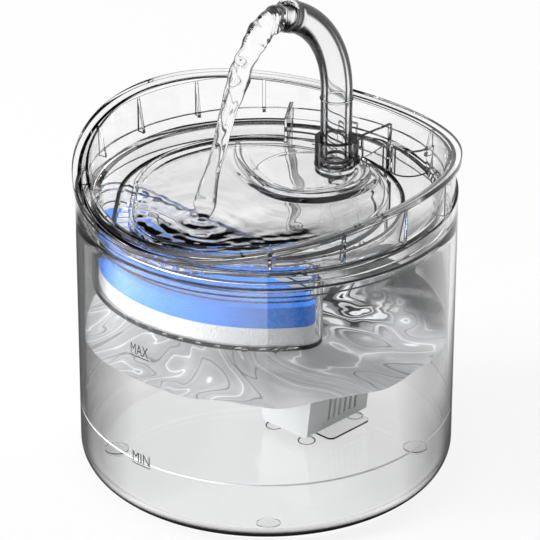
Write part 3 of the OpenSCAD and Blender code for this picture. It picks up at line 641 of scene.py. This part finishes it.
def makeTank():
    # outside from the floor's middle up to the rim, then down the inside to the middle again;
    # the last number of each stretch is its count of points
    k = tank
    r, edge, lip, line, lineR = k["r"], k["edge"], k["lip"], k["line"], k["lineR"]
    low, floor, lipZ = k["low"], k["low"] + k["floor"], k["high"] - k["lip"]
    inR, inEdge = r - k["wall"], edge - k["wall"]
    profile = np.concatenate([
        np.linspace((k["middle"], low), (r - edge, low), 16)[:-1],
        arc((r - edge, low + edge), edge, -90, 0, 24),
        np.linspace((r, low + edge), (r, lipZ), 23)[1:],
        arc((r - lip, lipZ), lip, 0, 90, 5)[1:],
        arc((inR + lip, lipZ), lip, 90, 180, 5),
        np.linspace((inR, lipZ), (inR, line + lineR), 15)[1:],
        arc((inR, line), lineR, 90, 270, 9)[1:-1],
        np.linspace((inR, line - lineR), (inR, floor + inEdge), 8),
        arc((inR - inEdge, floor + inEdge), inEdge, 0, -90, 20)[1:],
        np.linspace((inR - inEdge, floor), (k["middle"], floor), 15)[1:],
    ])
    points, faces = closedRings(revolve(profile, k["around"]), (0, 0, low), (0, 0, floor), turned=True)
    piece = putMesh("tank_shell", points, faces, "tank", "tankPlastic")
    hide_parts("tank")


baseEdge = {
    "proud": 0.04 * mm,
    "bend": (-80, -10, 28), "around": 240,  # first and last angle round the foot's edge, and count
    "shade": ([-80, -74, -29, -21, -10], [0, 1, 1, 0.4, 0]),
}


def makeBaseEdge():
    # where the wall turns under, the plastic is seen along its length and gathers shade: a thin skin on it
    k = tank
    profile = arc((k["r"] - k["edge"], k["low"] + k["edge"]), k["edge"] + baseEdge["proud"], *baseEdge["bend"])
    rings = revolve(profile, baseEdge["around"])
    piece = putMesh("base_edge", rings, [ringFaces(*rings.shape[:2])[:, ::-1]], "tank", "baseShade")
    dark = np.interp(np.linspace(*baseEdge["bend"]), *baseEdge["shade"])
    shadePoints(piece, np.repeat(dark, baseEdge["around"]))


ringLine = {"sunk": 0.02 * mm, "thick": 0.05 * mm, "bend": (110, 250, 7)}


def makeRingLine():
    # the low-water bead catches the light along its whole length: a pale band painted on it as that highlight
    k = tank
    centre = (k["r"] - k["wall"] - ringLine["sunk"], k["line"])
    rings = revolve(arc(centre, k["lineR"] + ringLine["thick"], *ringLine["bend"]), k["around"])
    putMesh("ring_line_highlight", rings, [ringFaces(*rings.shape[:2])[:, ::-1]], "tank", "paintedHighlightLine")


channel = {
    "middle": (0.0, -34.6 * mm), "radius": 41.0 * mm, "length": 5.0 * mm,
    "slots": 23, "span": 166.0,  # degrees, evenly about the front
    "floor": jointZ + 1.4 * mm,
    "ribWidth": 2.7 * mm, "ribHeight": 1.9 * mm,
    "ribPale": (248, 14),  # the angle where the ribs' painted shade is darkest and how soon they turn to pale painted highlight, in degrees
    "gleamWidth": 1.75 * mm, "gleamHigh": 0.45 * mm, "gleamLow": -0.3 * mm,
    "places": 3,  # points along a rib
}


def aroundChannel(angles, section):
    # carries a section (sideways, height) along the channel's width at each angle, closed at both ends
    k = channel
    n, places = len(section), k["places"]
    along = np.linspace(-0.5, 0.5, places) * k["length"] + k["radius"]
    angle, reach, at = np.meshgrid(angles, along, np.arange(n), indexing="ij")
    across, height = section[at, 0], section[at, 1]
    x = k["middle"][0] + reach * np.cos(angle) - across * np.sin(angle)
    y = k["middle"][1] + reach * np.sin(angle) + across * np.cos(angle)
    base = np.arange(len(angles))[:, None, None] * places * n
    walls = base + ringFaces(places, n)[:, ::-1]
    ends = base + np.stack([np.arange(n), places * n - 1 - np.arange(n)])
    return np.stack([x, y, height + k["floor"]], -1), [walls.reshape(-1, 4), ends.reshape(-1, n)]


def makeChannelRibs():
    # a half-round rib stands between every two slots, with painted shade and highlight by its angle; a blue plate
    # in each slot is a painted reflection of the foam's blue
    k = channel
    step = math.radians(k["span"]) / (k["slots"] - 1)
    slotAt = 1.5 * np.pi + (np.arange(k["slots"]) - (k["slots"] - 1) / 2) * step
    ribAt = slotAt[:-1] + step / 2
    half = arc((0, 0), 1, 0, 180, 9) * [k["ribWidth"] / 2, k["ribHeight"]]
    ribs = putMesh("channel_ribs", *aroundChannel(ribAt, half), "tray", "ribPlastic", sharp=40)
    # painted shade and highlight of each rib, set by its angle round the channel
    darkest, turn = np.radians(k["ribPale"])
    shadePoints(ribs, np.repeat(np.clip((darkest - ribAt) / turn, 0, 1), k["places"] * len(half)))
    # a blue plate in each slot, painted as the foam's blue reflection
    wide, high, low = k["gleamWidth"] / 2, k["gleamHigh"], k["gleamLow"]
    flat = np.array([[wide, high], [-wide, high], [-wide, low], [wide, low]])
    putMesh("slot_blue_reflection", *aroundChannel(slotAt, flat), "tray", "blueGleam", sharp=40)


def drawWaves(rng, count, height, fade, length, shorter):
    # plane waves of random direction and phase, each shorter than the one before
    return [(height / (1 + n * fade), length - n * shorter, rng.uniform(0, 360), rng.uniform(0, 6))
            for n in range(count)]


def ripples(x, y, waves):
    # sum of plane waves: height, wavelength, direction in degrees, phase
    z = np.zeros_like(x)
    for height, length, way, phase in waves:
        a = math.radians(way)
        z += height * np.sin(2 * np.pi * (x * math.cos(a) + y * math.sin(a)) / length + phase)
    return z


tankWater = {
    "level": jointZ - 58.6 * mm,
    "r": 84.55 * mm, "floor": 4.9 * mm, "edge": 8.4 * mm,
    "seed": 7,
    "waves": (6, 0.9 * mm, 0.5, 46 * mm, 6 * mm),
    "calmer": 0.4,  # share of the height that the waves lose towards the wall
    "rings": 90, "around": 240,
    "sideRings": (20, 12, 12),  # down the wall, round the bend and under the floor
}


def makeTankWater():
    # disc of rings whose height is a sum of waves, closed by a side that follows the tank's inside
    k = tankWater
    waves = drawWaves(np.random.default_rng(k["seed"]), *k["waves"])
    around, radius, edge = k["around"], k["r"], k["edge"]
    a = np.linspace(0, 2 * np.pi, around, endpoint=False)
    r = np.linspace(0, 1, k["rings"] + 1)[1:, None] * radius + 0 * a
    x, y = r * np.cos(a), r * np.sin(a)
    z = k["level"] + ripples(x, y, waves) * (1 - k["calmer"] * (r / radius) ** 2)
    wall, bent, under = k["sideRings"]
    bend = np.linspace(0, np.pi / 2, bent)
    sideR = [np.full(wall, radius), radius - edge * (1 - np.cos(bend)),
             np.linspace(radius - edge, 0, under + 2)[1:-1]]
    share = [np.linspace(0, 1, wall + 1)[1:], np.ones(bent + under)]
    drop = [np.zeros(wall), edge * np.sin(bend), np.full(under, edge)]
    sideR, share, drop = (np.concatenate(part)[:, None] for part in (sideR, share, drop))
    side = np.stack([sideR * np.cos(a), sideR * np.sin(a),
                     z[-1] * (1 - share) + (k["floor"] + edge) * share - drop], -1)
    rings = np.concatenate([np.stack([x, y, z], -1), side])
    points, faces = closedRings(rings, (0, 0, k["level"]), (0, 0, k["floor"]))
    piece = putMesh("tank_water", points, faces, "tank", "waterSheet", sharp=60)
    piece.data.materials.append(looks["waterSide"])
    index = np.zeros(len(piece.data.polygons), np.int32)
    index[(k["rings"] - 1) * around:(len(rings) - 1) * around] = 1
    index[-around:] = 1
    piece.data.polygons.foreach_set("material_index", index)


bowl = {
    "wideR": 56.1 * mm, "wideY": -4 * mm,
    "noseR": 35.9 * mm, "noseY": -34.6 * mm,
    "level": jointZ + 5.6 * mm,
    "dishR": 330 * mm, "dishY": -10 * mm, "dishLow": jointZ - 1.5 * mm,
    "gap": 0.1 * mm, "shallow": 0.2 * mm,  # off the dish, and the least depth
    "rings": 150, "around": 420,
    "seed": 3,
    "slow": (4, 0.07 * mm, 0, 34 * mm, 5 * mm), "chop": (4, 0.06 * mm, 0, 9 * mm, 1.3 * mm),
    "front": (1.6, 0.1), "frontReach": 13 * mm,
    # bends of the front's streaks: size, turns, phase; the streaks: height, length, share of the bend, turns
    "bends": [(2.2, 2.3, 1), (1.3, 5.1, 0), (0.8, 11.7, 2)],
    "streaks": [(0.17 * mm, 7.5 * mm, 1, 0), (0.06 * mm, 4.4 * mm, -1.7, 6)],
    "spread": 0.5 * mm, "spreadReach": 11 * mm, "spreadLength": 8.5 * mm, "spreadWobble": (0.7, 3),
    # the ridge's arcs: centre x, y, radius, first and last angle
    "ridge": [(0.0, 29 * mm, 26.3 * mm, -100.0, 62.0), (6.86 * mm, 67.9 * mm, 65.8 * mm, -140.0, -100.0)],
    "swell": 2.1 * mm, "swellWide": 5.2 * mm,
    "swellFade": 4, "swellRing": (0.3, 4.6 * mm), "swellEnd": 0.06, "swellPower": 0.7,
}


def bowlEdge(angles):
    # distance from the wide circle's middle to the outline round both circles, at each angle
    k = bowl
    gap = k["wideY"] - k["noseY"]
    flank = math.degrees(math.asin((k["wideR"] - k["noseR"]) / gap))
    wide = arc((0, 0), k["wideR"], -flank, 180 + flank, 200)
    nose = arc((0, -gap), k["noseR"], 180 + flank, 360 - flank, 120)
    left, right = np.linspace(wide[-1], nose[0], 42)[1:-1], np.linspace(nose[-1], wide[0], 42)[1:-1]
    x, y = np.concatenate([wide, left, nose, right]).T
    return np.interp(angles, np.arctan2(y, x), np.hypot(x, y), period=2 * np.pi)


def ridgeSwell(x, y):
    # water rising over the island's ridge: a bell across each of its two arcs, fading to both ends
    k = bowl
    swell = np.zeros_like(x)
    ringHeight, ringLength = k["swellRing"]
    for centreX, centreY, radius, start, end in k["ridge"]:
        away = np.hypot(x - centreX, y - centreY) - radius
        angle = np.degrees(np.arctan2(y - centreY, x - centreX))
        share = np.clip((angle - start) / (end - start), 0, 1)
        fade = k["swellFade"]
        inside = np.clip((angle - start + fade) / fade, 0, 1) * np.clip((end + fade - angle) / fade, 0, 1)
        bell = np.exp(-(away / k["swellWide"]) ** 2) * (1 + ringHeight * np.cos(2 * np.pi * away / ringLength))
        arch = np.sin(np.pi * (k["swellEnd"] + (1 - 2 * k["swellEnd"]) * share)) ** k["swellPower"]
        swell = np.maximum(swell, bell * inside * arch)
    return swell


def makeBowlWater():
    # rings from the wide circle's middle to the outline: calm in the middle, streaks along the front edge,
    # a swell over the ridge and rings round the stream's foot
    k = bowl
    rng = np.random.default_rng(k["seed"])
    slow, chop = drawWaves(rng, *k["slow"]), drawWaves(rng, *k["chop"])
    a = np.linspace(0, 2 * np.pi, k["around"], endpoint=False)
    reach = bowlEdge(a)
    r = np.linspace(0, 1, k["rings"] + 1)[1:, None] * reach
    x, y = r * np.cos(a), k["wideY"] + r * np.sin(a)
    inset = reach - r
    gain, start = k["front"]
    near = np.clip(-np.sin(a) * gain - start, 0, 1) * np.exp(-(inset / k["frontReach"]) ** 2)
    bend = sum(size * np.sin(turns * a + phase) for size, turns, phase in k["bends"])
    streaks = sum(height * np.sin(2 * np.pi * inset / length + share * bend + turns * a)
                  for height, length, share, turns in k["streaks"])
    foot = np.hypot(x - stream["foot"][0], y - stream["foot"][1])
    wobble, lobes = k["spreadWobble"]
    spread = k["spread"] * np.exp(-foot / k["spreadReach"]) * np.cos(
        2 * np.pi * foot / k["spreadLength"] + wobble * np.sin(lobes * a))
    z = k["level"] + ripples(x, y, slow) + near * (streaks + ripples(x, y, chop)) + spread
    z += k["swell"] * ridgeSwell(x, y)
    dish = k["dishLow"] + (x ** 2 + (y - k["dishY"]) ** 2) / (2 * k["dishR"]) + k["gap"]
    top = np.stack([x, y, np.maximum(z, dish + k["shallow"])], -1)
    under = np.stack([x, y, dish], -1)[::-1]
    middles = (0, k["wideY"], k["level"]), (0, k["wideY"], k["dishLow"] + 1.5 * k["gap"])
    points, faces = closedRings(np.concatenate([top, under]), *middles)
    putMesh("bowl_water", points, faces, "tray", "waterClear", sharp=60)


stream = {
    "start": (0.0, 13.0 * mm, 220.3 * mm),
    "foot": (-1.6 * mm, -40 * mm), "footDepth": 1.5 * mm,
    "slope": 0.424,  # rise of the outlet over its run
    "gravity": 9.81,
    "before": 0.12,  # how much of it stands inside the spout, as a share of the way down
    "rings": 220, "around": 96,
    # radius in mm by share of the way down
    "radius": [(0.0, 4.9), (0.11, 5.0), (0.25, 5.6), (0.4, 6.0), (0.64, 5.0), (0.76, 3.2), (0.83, 2.9), (0.9, 3.2),
               (0.96, 4.3), (1.0, 4.2)],
    "calm": (0.1, 0.3),  # between these shares the folds and beads set in
    # folds and beads: size, lobes, turns on the way down, phase
    "folds": [(0.15, 2, 7, 0), (0.08, 3, -15, 1), (0.03, 5, 24, 0), (0.04, 2, 83, 0), (0.012, 3, 150, 0)],
    "beads": (0.08, 34, 1.4),
    "end": 0.035, "endLeast": 0.04,  # the length that rounds off at the foot, and its least share of area
}


def streamPath():
    # a thrown body's path: even run, and a fall that grows with time squared
    k = stream
    x0, y0, z0 = k["start"]
    run = y0 - k["foot"][1]
    drop = z0 - bowl["level"] + k["footDepth"]
    time = math.sqrt(2 * (drop + k["slope"] * run) / k["gravity"])
    t = np.linspace(-k["before"], 1, k["rings"])
    x = x0 + (k["foot"][0] - x0) * t
    y = y0 - run * t
    z = z0 + k["slope"] * run * t - 0.5 * k["gravity"] * (time * np.maximum(t, 0)) ** 2
    return np.stack([x, y, z], -1)


def makeStream():
    # ring after ring along the path; the radius narrows, then spreads, with folds that turn on the way down
    k = stream
    path = streamPath()
    normal, binormal = frames(path)
    s = np.linspace(0, 1, k["rings"])[:, None]
    a = np.linspace(0, 2 * np.pi, k["around"], endpoint=False)
    change = sum(size * np.sin(lobes * a + turns * s + phase) for size, lobes, turns, phase in k["folds"])
    size, turns, lean = k["beads"]
    change = change + size * np.sin(turns * s + lean * np.sin(a))
    base = np.interp(s, *np.array(k["radius"]).T) * mm * np.sqrt(np.clip((1 - s) / k["end"], k["endLeast"], 1))
    radius = (base * (1 + np.interp(s, k["calm"], (0, 1)) * change))[..., None]
    rings = path[:, None] + radius * (np.cos(a)[:, None] * normal[:, None] + np.sin(a)[:, None] * binormal[:, None])
    points, faces = closedRings(rings, path[0], path[-1], turned=True)
    putMesh("water_stream", points, faces, "spout", "waterFalling", sharp=60)


marks = {
    "words": [("MAX", jointZ - 44.5 * mm), ("MIN", jointZ - 100.3 * mm)],
    "from": math.radians(-90.0), "to": math.radians(-82.6),
    "letter": 5.2 * mm, "over": 1.2 * mm, "inset": 0.04,  # height, distance to the line, share free at either side
    "line": 0.45 * mm, "steps": 17,
    "proud": 0.06 * mm,
}


def flatWord(word):
    # points and triangles of a word set flat, its width and height both stretched to one
    text = bpy.data.curves.new(word, "FONT")
    text.body = word
    text.resolution_u = 4
    holder = bpy.data.objects.new(word, text)
    bpy.context.scene.collection.objects.link(holder)
    bpy.context.view_layer.update()
    flat = bpy.data.meshes.new_from_object(holder.evaluated_get(bpy.context.evaluated_depsgraph_get()))
    bpy.data.objects.remove(holder)
    work = bmesh.new()
    work.from_mesh(flat)
    bmesh.ops.remove_doubles(work, verts=work.verts, dist=1e-5)
    bmesh.ops.triangulate(work, faces=work.faces)
    work.to_mesh(flat)
    work.free()
    co = read(flat.vertices, "co", 3)[:, :2]
    faces = read(flat.loops, "vertex_index", 1, np.int32).reshape(-1, 3)
    bpy.data.meshes.remove(flat)
    return (co - co.min(0)) / np.ptp(co, axis=0), faces


def makeMarks():
    # flat letters over a short line, wrapped on the tank
    k = marks
    radius, span, steps = tankR + k["proud"], k["to"] - k["from"], k["steps"]
    for word, level in k["words"]:
        place, faces = flatWord(word)
        angle = k["from"] + (k["inset"] + (1 - 2 * k["inset"]) * place[:, 0]) * span
        bar = k["from"] + np.linspace(0, 1, steps) * span
        angle = np.concatenate([angle, bar, bar])
        z = np.concatenate([level + k["over"] + place[:, 1] * k["letter"],
                            np.full(steps, level), np.full(steps, level + k["line"])])
        j = len(place) + np.arange(steps - 1)
        line = np.stack([j, j + 1, j + 1 + steps, j + steps], -1)
        points = np.stack([radius * np.cos(angle), radius * np.sin(angle), z], -1)
        putMesh("mark_" + word.lower(), points, [faces, line], "tank", "markInk")


makeCamera()
makeFloor()
makeWorld()
makeLamps()
print("studio ready")
dressNodes()
makeTank()
makeBaseEdge()
makeRingLine()
makeChannelRibs()
print("nodes dressed")
makeTankWater()
makeBowlWater()
makeStream()
print("water made")
makeMarks()
print("marks made")

scene = bpy.context.scene
scene.view_settings.view_transform = "Standard"
scene.cycles.max_bounces = 32
scene.cycles.transmission_bounces = 32
scene.cycles.transparent_max_bounces = 32
